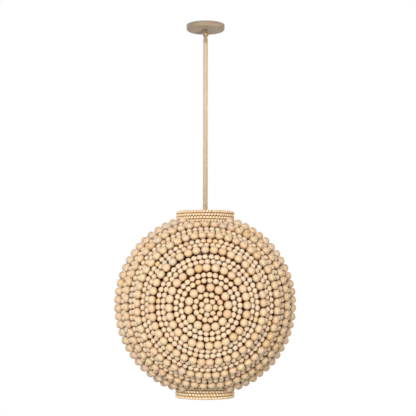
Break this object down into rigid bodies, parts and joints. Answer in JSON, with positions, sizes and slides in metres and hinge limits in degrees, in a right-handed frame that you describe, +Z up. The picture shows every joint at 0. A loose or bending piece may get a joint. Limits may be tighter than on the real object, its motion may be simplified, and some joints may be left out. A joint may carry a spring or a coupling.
{
  "type": "beaded chandelier",
  "caption": "Hanging globe chandelier of threaded wooden bead rings on an iron cage, carried by a straight stem and a small ball swivel under a round ceiling canopy.",
  "frame": {"origin": "on the ceiling plane, on the axis of the stem, where the canopy's rim and the crossbar meet the ceiling", "axes": "+Z up out of the ceiling, -Y towards the front of the globe, where the bead rings close round their front pole, +X to the right seen from the front"},
  "size_m": [0.5902, 0.5926, 1.238],
  "materials": {
    "zinc_steel": "zinc plated",
    "brass": "satin",
    "swivel_brass": "aged, lightly polished",
    "canopy_finish": "hand-painted wood tone with faint streaks",
    "ring_nut_finish": "dark bronze",
    "stem_finish": "painted beige wood tone, satin",
    "cage_iron": "brown paint on iron",
    "large_bead_wood": "turned, thin wax",
    "small_bead_wood": "turned, thin wax",
    "tiny_bead_wood": "turned, thin wax",
    "holder_porcelain": "matt cream",
    "bulb_glass": "frosted"
  },
  "bodies": {
    "ceiling_fitting": {"mounting_crossbar": "zinc_steel", "box_screw_left": "zinc_steel", "box_screw_right": "zinc_steel", "threaded_nipple": "brass", "nipple_lock_nut": "brass", "canopy": "canopy_finish", "canopy_ring_nut": "ring_nut_finish", "swivel_shell": "swivel_brass"},
    "swivel_cup": {"swivel_seat": "swivel_brass"},
    "pendant": {"swivel_ball": "swivel_brass", "stem_tube": "stem_finish", "stem_coupling": "stem_finish", "top_spider": "cage_iron", "spider_lock_nut": "brass", "lower_stem": "brass", "lamp_cluster": "cage_iron", "lamp_holder_1": "holder_porcelain", "lamp_holder_2": "holder_porcelain", "lamp_holder_3": "holder_porcelain", "bulb_1": "bulb_glass", "bulb_2": "bulb_glass", "bulb_3": "bulb_glass", "cluster_finial": "brass", "top_band": "cage_iron", "bottom_band": "cage_iron", "top_collar_beads": "tiny_bead_wood", "bottom_collar_beads": "tiny_bead_wood", "rib_front": "cage_iron", "rib_back": "cage_iron", "rib_left": "cage_iron", "rib_right": "cage_iron", "middle_hoop": "cage_iron", "front_centre_beads": "large_bead_wood", "front_large_ring_1": "large_bead_wood", "front_large_ring_2": "large_bead_wood", "front_large_ring_3": "large_bead_wood", "front_large_ring_4": "large_bead_wood", "front_large_ring_5": "large_bead_wood", "front_small_rings_1": "small_bead_wood", "front_small_rings_2": "small_bead_wood", "front_small_rings_3": "small_bead_wood", "front_small_rings_4": "small_bead_wood", "front_small_rings_5": "small_bead_wood", "back_centre_beads": "large_bead_wood", "back_large_ring_1": "large_bead_wood", "back_large_ring_2": "large_bead_wood", "back_large_ring_3": "large_bead_wood", "back_large_ring_4": "large_bead_wood", "back_large_ring_5": "large_bead_wood", "back_small_rings_1": "small_bead_wood", "back_small_rings_2": "small_bead_wood", "back_small_rings_3": "small_bead_wood", "back_small_rings_4": "small_bead_wood", "back_small_rings_5": "small_bead_wood", "left_front_arcs": "small_bead_wood", "right_front_arcs": "small_bead_wood", "left_back_arcs": "small_bead_wood", "right_back_arcs": "small_bead_wood", "left_middle_arcs": "large_bead_wood", "right_middle_arcs": "large_bead_wood"}
  },
  "joints": [
    {"name": "swivel_turn", "type": "hinge", "parent": "ceiling_fitting", "child": "swivel_cup", "pos_m": [0, 0, -0.032], "axis": [0, 0, 1], "range_deg": [-175, 175]},
    {"name": "swivel_tilt", "type": "hinge", "parent": "swivel_cup", "child": "pendant", "pos_m": [0, 0, -0.032], "axis": [1, 0, 0], "range_deg": [-20, 20]}
  ]
}
